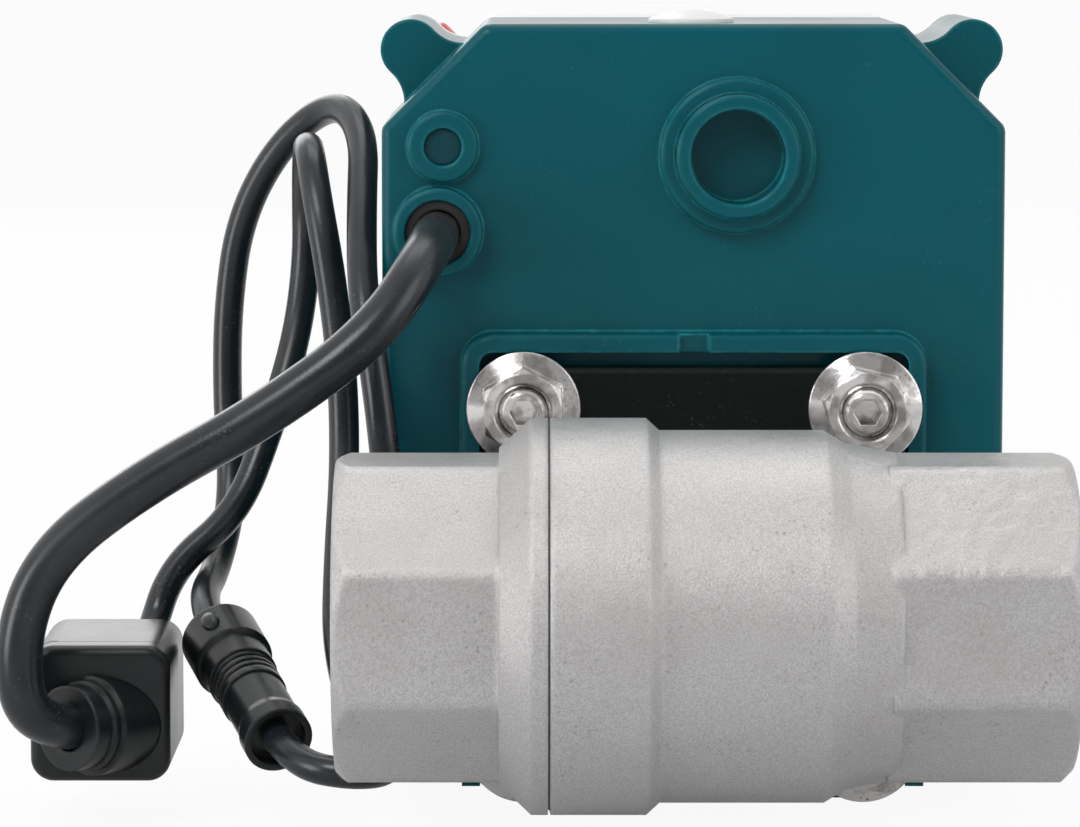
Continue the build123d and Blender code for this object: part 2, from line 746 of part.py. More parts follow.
def cover():
    shell = slab(outline(0), COVER_FRONT, COVER_END)
    shell = fillet(shell.faces().sort_by(Axis.Y)[-1].edges(), COVER_ROUND)
    for ear in ears():
        shell += slab(ear, COVER_FRONT, COVER_FRONT + COVER_EAR_DEPTH)
    shell -= slab(outline(WALL), COVER_FRONT - OVER, COVER_INSIDE)
    for place in corners():
        shell -= disc(*ear_centre(*place), COVER_SCREW + EASE, 0, COVER_FRONT + COVER_EAR_DEPTH + OVER)
    shell -= disc(STEM_X, 0, WINDOW - 2 * WINDOW_LIP, 0, COVER_END + OVER)
    shell -= disc(STEM_X, 0, WINDOW + 2 * RUN, COVER_END - WINDOW_THICK, COVER_END + OVER)
    return shell - clutch_plane(-CORNER / 2) * extrude(Circle(CLUTCH / 2 + RUN), CORNER)


def indicator_window():
    return disc(STEM_X, 0, WINDOW, COVER_END - WINDOW_THICK, COVER_END)


def cover_screws():
    screws = []
    seat_y = COVER_FRONT + COVER_EAR_DEPTH
    for place in corners():
        x, z = ear_centre(*place)
        shank = disc(x, z, COVER_SCREW - 2 * RUN, seat_y - COVER_SCREW_LENGTH + EASE, seat_y)
        head = disc(x, z, COVER_SCREW_HEAD, seat_y, seat_y + COVER_SCREW_HEAD_THICK)
        head = fillet(head.faces().sort_by(Axis.Y)[-1].edges(), COVER_SCREW_HEAD_THICK / 3)
        arm = COVER_SCREW_HEAD / 3
        slit = COVER_SCREW_HEAD * SLIT_SHARE
        deep = seat_y + COVER_SCREW_HEAD_THICK / 2
        head -= block(x - arm, x + arm, z - slit, z + slit, deep, COVER_END)
        head -= block(x - slit, x + slit, z - arm, z + arm, deep, COVER_END)
        screws.append(shank + head)
    return Compound(screws)


def pair_button():
    under = TOP - WALL - EASE
    radius = BUTTON / 2
    cap = [(0, under), (radius, under), (radius, TOP + BUTTON_PROUD - RUN), (0, TOP + BUTTON_PROUD - RUN)]
    sphere_radius = (radius ** 2 + BUTTON_DOME ** 2) / (2 * BUTTON_DOME)
    top = TOP + BUTTON_PROUD + BUTTON_DOME
    dome = Pos(0, 0, top - sphere_radius) * Sphere(sphere_radius)
    dome &= Pos(0, 0, TOP) * extrude(Circle(radius), BUTTON)
    flange = Pos(0, 0, under - BUTTON_FLANGE_THICK) * extrude(Circle(BUTTON_FLANGE / 2), BUTTON_FLANGE_THICK)
    return Pos(STEM_X, BUTTON_Y, 0) * (lathe(cap) + dome + flange)


def clutch_button():
    radius = CLUTCH / 2
    cap = clutch_plane(-WALL - EASE) * extrude(Circle(radius), WALL + EASE + CLUTCH_PROUD)
    cap = fillet(cap.edges().filter_by(GeomType.CIRCLE).sort_by(Axis.Z)[-1], radius / 4)
    under = clutch_plane(-WALL - EASE - CLUTCH_FLANGE_THICK)
    return cap + under * extrude(Circle(CLUTCH_FLANGE / 2), CLUTCH_FLANGE_THICK)


def vent_plug():
    x, z = STEM_X + VENT_X, VENT_Z
    front = FACE + VENT_PLUG_BACK - VENT_HIGH
    head = disc(x, z, VENT_RING - WALL, INSIDE, INSIDE + FLOOR / 2)
    return disc(x, z, VENT_BORE, front, INSIDE) + head


# Gearbox

def box_plate(near, far):
    half = BOX_PLATE_SIDE
    return block(STEM_X - half, STEM_X + half, -BOX_PLATE_BOTTOM, BOX_PLATE_TOP, near, far)


def post_places():
    side = BOX_PLATE_SIDE - POST_IN
    heights = (BOX_PLATE_TOP - POST_IN, POST_IN - BOX_PLATE_BOTTOM)
    return [(STEM_X + sx * side, z) for sx in (-1, 1) for z in heights]


def gear_plate():
    plate = box_plate(INSIDE, BOX_PLATE_END)
    plate -= disc(*OUT_AT, SHAFT + 2 * RUN, 0, COVER_END)
    plate -= disc(*OUT_AT, SOCKET + EASE, 0, BOX_PLATE_END - OVER)
    for x, z in STUDS:
        plate -= disc(x, z, STUD, 0, COVER_END)
    for place in (FIRST_AT, SECOND_AT):
        plate -= disc(*place, AXLE, 0, COVER_END)
    return plate


def upper_plate():
    plate = box_plate(UPPER_PLATE_Y, UPPER_PLATE_END)
    plate -= disc(*OUT_AT, SHAFT + 2 * RUN, 0, COVER_END)
    plate -= disc(*MOTOR_AT, MOTOR_NOSE, 0, COVER_END)
    for place in (FIRST_AT, SECOND_AT):
        plate -= disc(*place, AXLE, 0, COVER_END)
    return plate


def gear_posts():
    return Compound([disc(*place, POST, BOX_PLATE_END, UPPER_PLATE_Y) for place in post_places()])


def board_posts():
    low = [place for place in post_places() if place[1] < 0]
    return Compound([disc(*place, POST, UPPER_PLATE_END, BOARD_Y) for place in low])


def gear_axles():
    return Compound([disc(*place, AXLE, INSIDE, UPPER_PLATE_END) for place in (FIRST_AT, SECOND_AT)])


def output_shaft():
    half = STEM_SQUARE / 2 + RUN
    piece = disc(*OUT_AT, SOCKET, SOCKET_FRONT, BOX_PLATE_END - OVER - RUN)
    piece += disc(*OUT_AT, SHAFT, SOCKET_FRONT, BOARD_Y - EASE)
    piece += disc(*OUT_AT, SHAFT_TIP, BOARD_Y - OVER, COVER_INSIDE - DIAL_THICK - EASE)
    reach = SOCKET_FRONT + SOCKET_DEPTH
    return piece - block(STEM_X - half, STEM_X + half, -half, half, 0, reach)


OUT_PHASE = 0.0
SECOND_DRIVE_PHASE = meshing(OUT_AT, OUT_PHASE, OUT_TEETH, SECOND_AT, SECOND_PINION_TEETH)
SECOND_PHASE = SECOND_DRIVE_PHASE
FIRST_DRIVE_PHASE = meshing(SECOND_AT, SECOND_PHASE, SECOND_TEETH, FIRST_AT, FIRST_PINION_TEETH)
FIRST_PHASE = FIRST_DRIVE_PHASE
MOTOR_PHASE = meshing(FIRST_AT, FIRST_PHASE, FIRST_TEETH, MOTOR_AT, MOTOR_TEETH)


def output_gear():
    gear = wheel(OUT_TEETH, OUT_MODULE, OUT_AT, OUT_PHASE, OUT_START, OUT_START + OUT_THICK)
    return gear - disc(*OUT_AT, SHAFT, 0, COVER_END)


def second_gear():
    end = SECOND_START + SECOND_THICK
    gear = wheel(SECOND_TEETH, SECOND_MODULE, SECOND_AT, SECOND_PHASE, SECOND_START, end)
    gear += wheel(SECOND_PINION_TEETH, OUT_MODULE, SECOND_AT, SECOND_DRIVE_PHASE, OUT_START, SECOND_START)
    return gear - disc(*SECOND_AT, AXLE + 2 * RUN, 0, COVER_END)


def first_gear():
    gear = wheel(FIRST_TEETH, FIRST_MODULE, FIRST_AT, FIRST_PHASE, FIRST_START, FIRST_START + FIRST_THICK)
    gear += wheel(FIRST_PINION_TEETH, SECOND_MODULE, FIRST_AT, FIRST_DRIVE_PHASE, SECOND_START, FIRST_START)
    return gear - disc(*FIRST_AT, AXLE + 2 * RUN, 0, COVER_END)


def motor_pinion():
    gear = wheel(MOTOR_TEETH, FIRST_MODULE, MOTOR_AT, MOTOR_PHASE, FIRST_START, FIRST_START + FIRST_THICK)
    return gear - disc(*MOTOR_AT, MOTOR_SHAFT, 0, COVER_END)


def motor_shaft():
    end = UPPER_PLATE_END + MOTOR_SHAFT_IN
    return disc(*MOTOR_AT, MOTOR_SHAFT, FIRST_START - EASE, end)


def motor():
    end = UPPER_PLATE_END + MOTOR_LONG
    can = disc(*MOTOR_AT, MOTOR, UPPER_PLATE_END, end)
    can = fillet(can.faces().sort_by(Axis.Y)[-1].edges(), OVER)
    can += disc(*MOTOR_AT, MOTOR_NOSE, UPPER_PLATE_END - MOTOR_NOSE_LONG, UPPER_PLATE_END)
    return can - disc(*MOTOR_AT, MOTOR_SHAFT + 2 * RUN, 0, UPPER_PLATE_END + MOTOR_SHAFT_IN + EASE)


def cam():
    near = UPPER_PLATE_END + EASE
    lobe = Pos(STEM_X, CAM_LOBE) * Circle(CAM / 2 - CAM_LOBE / 2)
    form = slab(Pos(*OUT_AT) * Circle(CAM / 2) + lobe, near, near + CAM_THICK)
    return form - disc(*OUT_AT, SHAFT, 0, COVER_END)


def limit_switches():
    switches = []
    for side in (-1, 1):
        x = STEM_X + side * SWITCH_OUT
        half = SWITCH_WIDE / 2
        near = BOARD_Y - SWITCH_DEEP
        case = block(x - half, x + half, -SWITCH_TALL / 2, SWITCH_TALL / 2, near, BOARD_Y)
        edge = x - side * half
        tip = edge - side * SWITCH_WIDE / 8
        low = -SWITCH_TALL / 2
        lever = block(min(edge, tip), max(edge, tip), low, 0, near, BOARD_Y - SWITCH_DEEP / 2)
        switches.append(case + lever)
    return Compound(switches)


def control_board():
    half = BOARD_WIDE / 2
    board = block(STEM_X - half, STEM_X + half, -BOARD_BOTTOM, BOARD_TOP, BOARD_Y, BOARD_Y + BOARD)
    return board - disc(*OUT_AT, BOARD_HOLE, 0, COVER_END)


def board_parts():
    back = BOARD_Y + BOARD
    left = STEM_X - BOARD_WIDE / 2 + OVER
    relay = block(left, left + RELAY, BOARD_TOP - OVER - RELAY, BOARD_TOP - OVER, back, back + RELAY_DEEP)
    right = STEM_X + BOARD_WIDE / 2 - OVER
    low = OVER - BOARD_BOTTOM
    header = block(right - HEADER_WIDE, right, low, low + HEADER_TALL, back, back + HEADER_DEEP)
    return Compound([relay, header])


def indicator_dial():
    near = COVER_INSIDE - DIAL_THICK - EASE
    dial = disc(*OUT_AT, DIAL, near, near + DIAL_THICK)
    half = POINTER_WIDE / 2
    reach = DIAL / 2 - OVER
    return dial - block(STEM_X - reach, STEM_X + reach, -half, half, near + DIAL_THICK / 2, COVER_END)


# Cable, box and connection

def radii(route):
    # The largest even bend at each corner that its two runs leave room for.
    sizes = []
    for before, point, after in zip(route, route[1:], route[2:]):
        arrive = Vector(*point) - Vector(*before)
        leave = Vector(*after) - Vector(*point)
        run = min(arrive.length, leave.length)
        sizes.append(BEND_SHARE * run / math.tan(math.radians(arrive.get_angle(leave) / 2)))
    return sizes


def tube(name, route, size):
    path = FilletPolyline(*route, radius=radii(route))
    start = Vector(*route[0])
    section = Plane(start, z_dir=Vector(*route[1]) - start) * Circle(size / 2)
    solid = sweep(section, path=path)
    share = solid.volume / (math.pi * size ** 2 / 4 * path.length)
    bends = [round(radius, 1) for radius in radii(route)]
    print(name, "length", round(path.length, 1), "volume share", round(share, 4), "radii", bends)
    return solid


def main_cable():
    return tube("main_cable", CABLE_ROUTE, CABLE)


def link_lead():
    return tube("link_lead", LINK_ROUTE, LEAD)


def supply_lead():
    return tube("supply_lead", SUPPLY_ROUTE, LEAD)


def cable_grommet():
    x, z = STEM_X + GLAND_X, GLAND_Z
    sleeve = disc(x, z, GLAND_BORE, FACE - GLAND_HIGH + GROMMET_OUT, INSIDE + GROMMET_IN)
    return sleeve - disc(x, z, CABLE, 0, COVER_END)


def module_form(near, far):
    middle = Pos(MODULE_LEFT + MODULE_WIDE / 2, MODULE_TOP - MODULE_TALL / 2)
    sketch = middle * Rectangle(MODULE_WIDE, MODULE_TALL)
    return slab(fillet(sketch.vertices(), MODULE_ROUND), near, far)


def relief_plane():
    # A plane across the cable where it ends in the box, facing back along it.
    end = Vector(*CABLE_ROUTE[-1])
    return Plane(end, z_dir=(Vector(*CABLE_ROUTE[-2]) - end).normalized())


def module_lid():
    lid = module_form(MODULE_FRONT, MODULE_FRONT + MODULE_LID)
    lid = fillet(lid.faces().sort_by(Axis.Y)[0].edges(), MODULE_EDGE)
    return lid - relief_plane() * extrude(Circle(CABLE / 2), CABLE)


def module_case():
    start = MODULE_FRONT + MODULE_LID
    end = MODULE_FRONT + MODULE_LONG
    case = module_form(start, end)
    case = fillet(case.faces().sort_by(Axis.Y)[-1].edges(), MODULE_EDGE)
    groove = module_form(start, start + MODULE_LINE)
    core = module_form(start, start + MODULE_LINE)
    core = scale_about(core, 1 - 2 * MODULE_LINE / MODULE_WIDE)
    return case - (groove - core)


def scale_about(solid, share):
    # The same solid drawn in about the box's long axis.
    x = MODULE_LEFT + MODULE_WIDE / 2
    z = MODULE_TOP - MODULE_TALL / 2
    return Pos(x, 0, z) * scale(Pos(-x, 0, -z) * solid, (share, 1, share))


def cable_relief():
    # The ribbed sleeve on the box's front, along the cable's last run.
    base = RELIEF / 2
    tip = RELIEF_TIP / 2
    points = [(0, -RELIEF / 2), (base, -RELIEF / 2), (base, RELIEF_RING)]
    points += [(base - RELIEF_GROOVE, RELIEF_RING), (base - RELIEF_GROOVE, 2 * RELIEF_RING)]
    points += [(tip, 2 * RELIEF_RING), (tip, RELIEF_HIGH), (0, RELIEF_HIGH)]
    sleeve = relief_plane() * lathe(points)
    sleeve -= relief_plane() * extrude(Circle(CABLE / 2), RELIEF_HIGH + OVER)
    return sleeve - module_form(MODULE_FRONT, MODULE_FRONT + MODULE_LONG)


def connection_plane(along):
    # A plane across the connection, that far from its rear face towards the plug's end.
    start = Vector(*SUPPLY_ROUTE[0])
    way = (start - Vector(*SUPPLY_ROUTE[1])).normalized()
    return Plane(start + way * along, z_dir=way)


def connection_jack():
    rear = JACK / 2
    step = JACK_STEP / 2
    end = JACK_LONG + JACK_STEP_LONG
    points = [(0, 0), (rear - JACK_ROUND, 0), (rear, JACK_ROUND), (rear, JACK_LONG - EASE)]
    points += [(rear - EASE, JACK_LONG), (step, JACK_LONG), (step, end), (0, end)]
    return connection_plane(0) * lathe(points)


def connection_lock():
    outer = LOCK / 2
    pitch = LOCK_LONG / (LOCK_GROOVES + 1)
    points = [(0, 0), (outer, 0)]
    for groove in range(LOCK_GROOVES):
        start = (groove + LOCK_START_SHARE) * pitch
        end = start + pitch / 2
        points += [(outer, start), (outer - LOCK_GROOVE, start), (outer - LOCK_GROOVE, end), (outer, end)]
    points += [(outer, LOCK_LONG), (0, LOCK_LONG)]
    return connection_plane(JACK_LONG + JACK_STEP_LONG) * lathe(points)


def connection_plug():
    body = PLUG / 2
    flare = PLUG_FLARE / 2
    end = PLUG_LONG + PLUG_FLARE_LONG
    points = [(0, 0), (body, 0), (body, PLUG_LONG), (flare, PLUG_LONG + PLUG_FLARE_LONG / 3), (flare, end)]
    points += [(flare - PLUG_CUP_WALL, end), (flare - PLUG_CUP_WALL, end - PLUG_CUP), (0, end - PLUG_CUP)]
    return connection_plane(JACK_LONG + JACK_STEP_LONG + LOCK_LONG) * lathe(points)


NODES = {
    "valve_body": valve_body,
    "end_cap": end_cap,
    "body_seal": body_seal,
    "ball": ball,
    "left_seat": left_seat,
    "right_seat": right_seat,
    "stem": stem,
    "stem_packing": stem_packing,
    "gland_nut": gland_nut,
    "bracket_plate": bracket_plate,
    "plate_screws": plate_screws,
    "mounting_studs": mounting_studs,
    "flange_nuts": flange_nuts,
    "housing_base": housing_base,
    "housing_gasket": housing_gasket,
    "cover": cover,
    "cover_screws": cover_screws,
    "indicator_window": indicator_window,
    "indicator_dial": indicator_dial,
    "pair_button": pair_button,
    "clutch_button": clutch_button,
    "vent_plug": vent_plug,
    "gear_plate": gear_plate,
    "upper_plate": upper_plate,
    "gear_posts": gear_posts,
    "gear_axles": gear_axles,
    "output_shaft": output_shaft,
    "output_gear": output_gear,
    "second_gear": second_gear,
    "first_gear": first_gear,
    "motor_pinion": motor_pinion,
    "motor_shaft": motor_shaft,
    "motor": motor,
    "cam": cam,
    "limit_switches": limit_switches,
    "board_posts": board_posts,
    "control_board": control_board,
    "board_parts": board_parts,
    "cable_grommet": cable_grommet,
    "main_cable": main_cable,
    "cable_relief": cable_relief,
    "module_lid": module_lid,
    "module_case": module_case,
    "link_lead": link_lead,
    "supply_lead": supply_lead,
    "connection_jack": connection_jack,
    "connection_lock": connection_lock,
    "connection_plug": connection_plug,
}

os.makedirs("parts", exist_ok=True)
for name, make in NODES.items():
    export_step(make(), "parts/" + name + ".step")
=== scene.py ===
import json
import math

import bmesh
import bpy
from mathutils import Matrix, Vector


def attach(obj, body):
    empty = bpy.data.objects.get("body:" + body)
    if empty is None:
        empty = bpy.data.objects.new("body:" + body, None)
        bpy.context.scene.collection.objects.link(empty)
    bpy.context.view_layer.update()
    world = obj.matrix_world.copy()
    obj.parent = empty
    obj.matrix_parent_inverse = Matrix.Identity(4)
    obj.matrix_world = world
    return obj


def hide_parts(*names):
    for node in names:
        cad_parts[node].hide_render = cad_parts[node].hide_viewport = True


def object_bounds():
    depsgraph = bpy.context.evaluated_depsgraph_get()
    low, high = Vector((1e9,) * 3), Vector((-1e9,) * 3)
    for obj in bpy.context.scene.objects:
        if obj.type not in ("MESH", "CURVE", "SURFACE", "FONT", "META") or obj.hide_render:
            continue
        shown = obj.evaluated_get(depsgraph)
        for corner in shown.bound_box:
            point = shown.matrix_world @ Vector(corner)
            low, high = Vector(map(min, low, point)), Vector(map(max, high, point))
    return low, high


# The motorised ball valve in a pale studio. All lengths are metres, in the CAD's own frame.
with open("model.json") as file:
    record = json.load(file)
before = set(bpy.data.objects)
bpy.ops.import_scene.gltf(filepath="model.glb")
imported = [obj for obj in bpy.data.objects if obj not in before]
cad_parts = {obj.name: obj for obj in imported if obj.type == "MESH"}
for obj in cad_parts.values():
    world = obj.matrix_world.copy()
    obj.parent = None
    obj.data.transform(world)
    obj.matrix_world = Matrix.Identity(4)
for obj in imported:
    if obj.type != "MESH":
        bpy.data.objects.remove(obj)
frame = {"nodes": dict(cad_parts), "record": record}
cad_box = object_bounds()
nodes = frame["nodes"]
record = frame["record"]

# Cable sizes, and the routes that the cables follow, as in the CAD

CABLE = 0.0048
LEAD = 0.0032
CABLE_ROUTE = [
    (0.0094, 0.0350, 0.0358),
    (0.0094, 0.0210, 0.0358),
    (0.0036, 0.0140, 0.0266),
    (-0.0084, 0.0134, 0.0180),
    (-0.0200, 0.0146, 0.0116),
    (-0.0300, 0.0156, 0.0040),
    (-0.0334, 0.0148, -0.0050),
    (-0.0320, 0.0144, -0.0142),
    (-0.0258, 0.0220, -0.0146),
]
LINK_ROUTE = [
    (-0.0226, 0.0420, -0.0110),
    (-0.0224, 0.0485, -0.0095),
    (-0.0200, 0.0505, -0.0020),
    (-0.0128, 0.0490, 0.0040),
    (-0.0094, 0.0520, 0.0130),
    (-0.0066, 0.0555, 0.0224),
    (-0.0055, 0.0570, 0.0310),
    (-0.0056, 0.0575, 0.0385),
    (-0.0052, 0.0525, 0.0438),
    (-0.0046, 0.0455, 0.0436),
    (-0.0036, 0.0410, 0.0385),
    (-0.0022, 0.0395, 0.0310),
    (-0.0009, 0.0380, 0.0210),
    (-0.0006, 0.0365, 0.0110),
    (-0.0012, 0.0335, 0.0010),
    (-0.0013, 0.0290, -0.0080),
    (0.0015, 0.0225, -0.0156),
    (0.0055, 0.0160, -0.0180),
    (0.0015, 0.0102, -0.0178),
    (-0.0050, 0.0131, -0.0171),
    (-0.0072, 0.0188, -0.0149),
]
SUPPLY_ROUTE = [
    (-0.0144, 0.0380, -0.0074),
    (-0.0167, 0.0442, -0.0050),
    (-0.0152, 0.0535, -0.0024),
    (-0.0138, 0.0580, 0.0050),
    (-0.0146, 0.0604, 0.0150),
    (-0.0145, 0.0612, 0.0255),
    (-0.0130, 0.0610, 0.0355),
    (-0.0084, 0.0595, 0.0438),
    (-0.0022, 0.0550, 0.0486),
    (0.0012, 0.0465, 0.0455),
    (0.0012, 0.0380, 0.0380),
    (0.0015, 0.0300, 0.0295),
    (0.0032, 0.0265, 0.0200),
    (0.0044, 0.0255, 0.0090),
    (0.0050, 0.0265, -0.0020),
    (0.0060, 0.0280, -0.0120),
]


# Camera

CAMERA_PLACE = (0.020, -0.46748, 0.06917)
CAMERA_PITCH = 6.0
CAMERA_LENS = 160.0
CAMERA_SENSOR = 36.0
CAMERA_NEAR = 0.01
CAMERA_FAR = 20.0


def place_camera():
    # The photograph's camera, level from side to side and looking a little down.
    data = bpy.data.cameras.new("photo_camera")
    data.sensor_width = CAMERA_SENSOR
    data.lens = CAMERA_LENS
    data.clip_start = CAMERA_NEAR
    data.clip_end = CAMERA_FAR
    camera = bpy.data.objects.new("photo_camera", data)
    camera.location = CAMERA_PLACE
    camera.rotation_euler = (math.radians(90.0 - CAMERA_PITCH), 0.0, 0.0)
    bpy.context.scene.collection.objects.link(camera)
    bpy.context.scene.camera = camera


# Pieces

def add_piece(name, mesh, finish):
    # A smooth piece that is fixed to the valve, in its finish and its material slot.
    mesh.shade_smooth()
    mesh.materials.clear()
    mesh.materials.append(finish)
    piece = bpy.data.objects.new(name, mesh)
    bpy.context.scene.collection.objects.link(piece)
    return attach(piece, "valve")


# Cables

ROUTE_STEPS = 14
ROUND_STEPS = 7


def lay_cable(name, route, diameter, finish):
    # A round tube about the route's own spline, and the points that the spline goes through.
    curve = bpy.data.curves.new(name, "CURVE")
    curve.dimensions = "3D"
    curve.resolution_u = ROUTE_STEPS
    spline = curve.splines.new("NURBS")
    spline.points.add(len(route) - 1)
    for point, place in zip(spline.points, route):
        point.co = (*place, 1.0)
    spline.order_u = 3
    spline.use_endpoint_u = True
    line = bpy.data.objects.new(name + "_line", curve)
    path = [tuple(vertex.co) for vertex in bpy.data.meshes.new_from_object(line).vertices]
    curve.bevel_depth = diameter / 2
    curve.bevel_resolution = ROUND_STEPS
    curve.use_fill_caps = True
    mesh = bpy.data.meshes.new_from_object(line)
    bpy.data.objects.remove(line)
    return add_piece(name, mesh, finish), path


def lay_cables(finish):
    # The three cables, laid along their routes in place of the CAD's own.
    main, path = lay_cable("main_cable_jacket", CABLE_ROUTE, CABLE, finish)
    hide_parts("main_cable")
    link, path = lay_cable("link_lead_jacket", LINK_ROUTE, LEAD, finish)
    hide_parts("link_lead")
    supply, path = lay_cable("supply_lead_jacket", SUPPLY_ROUTE, LEAD, finish)
    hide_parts("supply_lead")


# Effects that several finishes share

def effect(name, inputs, outputs):
    # A shader node group with its named inputs and outputs, and its two end nodes.
    group = bpy.data.node_groups.new(name, "ShaderNodeTree")
    for label, kind, value in inputs:
        socket = group.interface.new_socket(label, in_out="INPUT", socket_type=kind)
        socket.default_value = value
    for label, kind in outputs:
        group.interface.new_socket(label, in_out="OUTPUT", socket_type=kind)
    return group, group.nodes.new("NodeGroupInput"), group.nodes.new("NodeGroupOutput")


def put_in(tree, socket, value):
    # A number goes on the socket, and an output is linked to it.
    if isinstance(value, (int, float)):
        socket.default_value = value
    else:
        tree.links.new(value, socket)


def arithmetic(tree, operation, first, second, clamp=False):
    # One sum of two values, each a number or an output.
    node = tree.nodes.new("ShaderNodeMath")
    node.operation = operation
    node.use_clamp = clamp
    put_in(tree, node.inputs[0], first)
    put_in(tree, node.inputs[1], second)
    return node.outputs[0]


def largest(tree, first, *others):
    # The largest of several values.
    for value in others:
        first = arithmetic(tree, "MAXIMUM", first, value)
    return first


def remap(tree, value, low, high, to_low, to_high):
    # A value that runs from low to high, stretched to run from to_low to to_high.
    node = tree.nodes.new("ShaderNodeMapRange")
    node.inputs["From Min"].default_value = low
    node.inputs["From Max"].default_value = high
    tree.links.new(value, node.inputs["Value"])
    put_in(tree, node.inputs["To Min"], to_low)
    put_in(tree, node.inputs["To Max"], to_high)
    return node.outputs["Result"]


def noise(tree, place, scale, detail=3.0, roughness=0.5):
    # Cloudy noise, whose scale is a number or an output.
    node = tree.nodes.new("ShaderNodeTexNoise")
    node.inputs["Detail"].default_value = detail
    node.inputs["Roughness"].default_value = roughness
    tree.links.new(place, node.inputs["Vector"])
    put_in(tree, node.inputs["Scale"], scale)
    return node.outputs["Fac"]


def object_place(tree):
    # The place on the object, which is in metres.
    return tree.nodes.new("ShaderNodeTexCoord").outputs["Object"]


def across(tree, vector, axis):
    # One axis of a vector.
    parts = tree.nodes.new("ShaderNodeSeparateXYZ")
    tree.links.new(vector, parts.inputs[0])
    return parts.outputs[axis]


FLOAT = "NodeSocketFloat"
VECTOR = "NodeSocketVector"


def make_fine_grain():
    # A fine even grain with slow patches, as a mould or a blasting cabinet leaves it.
    group, start, end = effect(
        "fine_grain",
        [
            ("Grain Size", FLOAT, 4000.0),
            ("Patch Size", FLOAT, 90.0),
            ("Low", FLOAT, 0.3),
            ("High", FLOAT, 0.5),
        ],
        [("Height", FLOAT), ("Patches", FLOAT), ("Roughness", FLOAT)],
    )
    place = object_place(group)
    fine = noise(group, place, start.outputs["Grain Size"], 4.0, 0.6)
    patches = noise(group, place, start.outputs["Patch Size"], 3.0, 0.55)
    spread = remap(group, patches, 0.3, 0.7, start.outputs["Low"], start.outputs["High"])
    group.links.new(fine, end.inputs["Height"])
    group.links.new(patches, end.inputs["Patches"])
    group.links.new(spread, end.inputs["Roughness"])
    return group


def make_soft_edges():
    # A small rounding of sharp edges, with a mask of where they are and how rubbed they look; on
    # plastics its tint also paints edge highlights.
    group, start, end = effect(
        "soft_edges",
        [("Width", FLOAT, 0.0003), ("Rub", FLOAT, 1.0)],
        [("Mask", FLOAT), ("Normal", VECTOR)],
    )
    rounding = group.nodes.new("ShaderNodeBevel")
    rounding.samples = 4
    group.links.new(start.outputs["Width"], rounding.inputs["Radius"])
    surface = group.nodes.new("ShaderNodeNewGeometry")
    agree = group.nodes.new("ShaderNodeVectorMath")
    agree.operation = "DOT_PRODUCT"
    group.links.new(rounding.outputs["Normal"], agree.inputs[0])
    group.links.new(surface.outputs["Normal"], agree.inputs[1])
    edge = remap(group, agree.outputs["Value"], 0.995, 0.85, 0.0, 1.0)
    patchy = noise(group, object_place(group), 700.0, 4.0, 0.65)
    rubbed = remap(group, patchy, 0.35, 0.65, 0.25, 1.0)
    worn = arithmetic(group, "MULTIPLY", edge, rubbed)
    mask = arithmetic(group, "MULTIPLY", worn, start.outputs["Rub"], True)
    group.links.new(mask, end.inputs["Mask"])
    group.links.new(rounding.outputs["Normal"], end.inputs["Normal"])
    return group


def make_specks():
    # Scattered small pits or dust specks of one size.
    group, start, end = effect(
        "specks",
        [("Size", FLOAT, 900.0), ("Amount", FLOAT, 0.3)],
        [("Mask", FLOAT)],
    )
    place = object_place(group)
    cells = group.nodes.new("ShaderNodeTexVoronoi")
    group.links.new(place, cells.inputs["Vector"])
    group.links.new(start.outputs["Size"], cells.inputs["Scale"])
    dots = remap(group, cells.outputs["Distance"], 0.10, 0.30, 1.0, 0.0)
    where = noise(group, place, 160.0, 4.0, 0.7)
    chosen = remap(group, where, 0.5, 0.66, 0.0, start.outputs["Amount"])
    group.links.new(arithmetic(group, "MULTIPLY", dots, chosen, True), end.inputs["Mask"])
    return group


FINE_GRAIN = make_fine_grain()
SOFT_EDGES = make_soft_edges()
SPECKS = make_specks()


# Finishes

